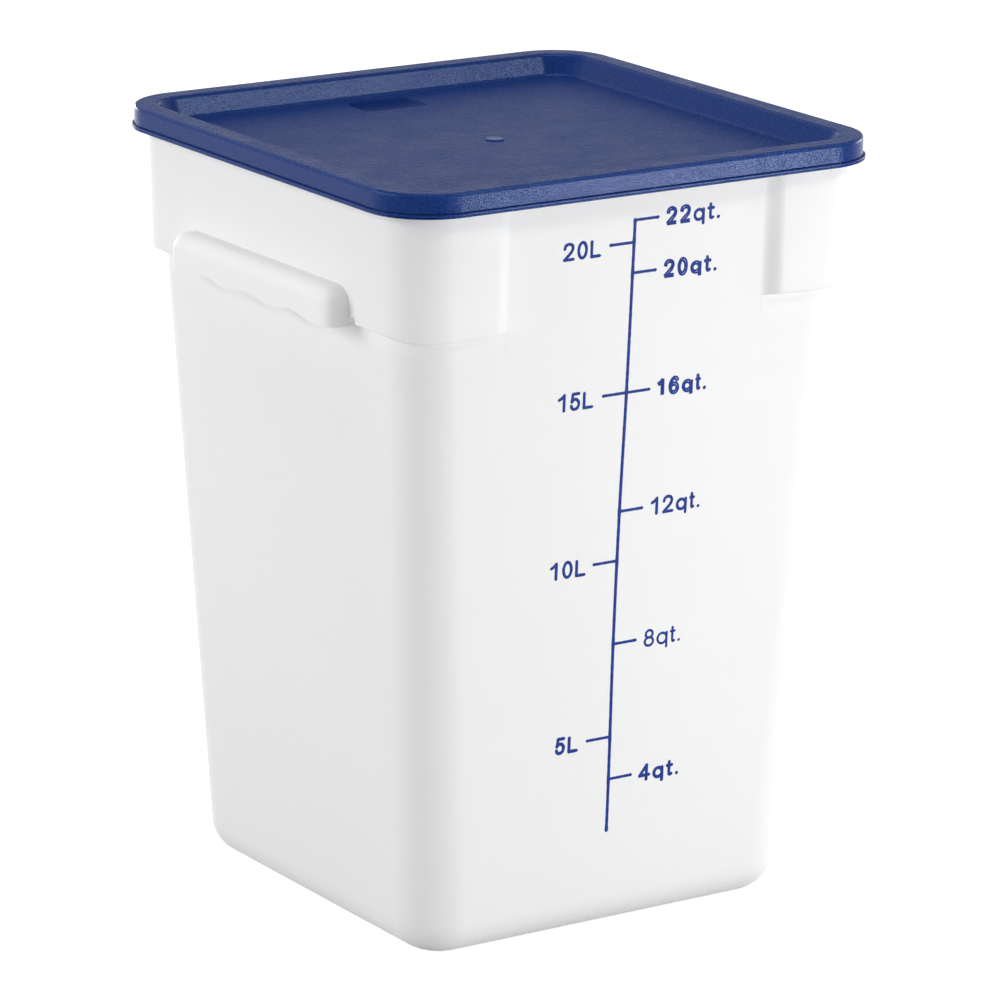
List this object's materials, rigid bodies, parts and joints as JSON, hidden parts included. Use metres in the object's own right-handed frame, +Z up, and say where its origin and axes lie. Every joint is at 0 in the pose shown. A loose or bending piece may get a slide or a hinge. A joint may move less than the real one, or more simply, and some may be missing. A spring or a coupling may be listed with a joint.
{
  "type": "food storage container",
  "caption": "Tall square food storage container: a tapered tub with a collar, finger handles and a printed volume scale, closed by a lid that lifts off.",
  "frame": {"origin": "middle of the base, on the plane that the container stands on", "axes": "+Z up towards the lid; -Y towards the front with the printed scale; the finger handles are on -X and +X"},
  "size_m": [0.2952, 0.2892, 0.403],
  "materials": {
    "white_plastic": "semi-gloss moulded white polypropylene",
    "blue_plastic": "satin moulded royal blue polyethylene with a fine grain on the panel",
    "blue_ink": "satin blue printing ink"
  },
  "bodies": {
    "tub": {"tub": "white_plastic", "scale_line": "blue_ink"},
    "lid": {"lid": "blue_plastic"}
  },
  "joints": [
    {"name": "lid_lift", "type": "slide", "parent": "tub", "child": "lid", "axis": [0, 0, 1], "range_m": [0, 0.12]}
  ]
}
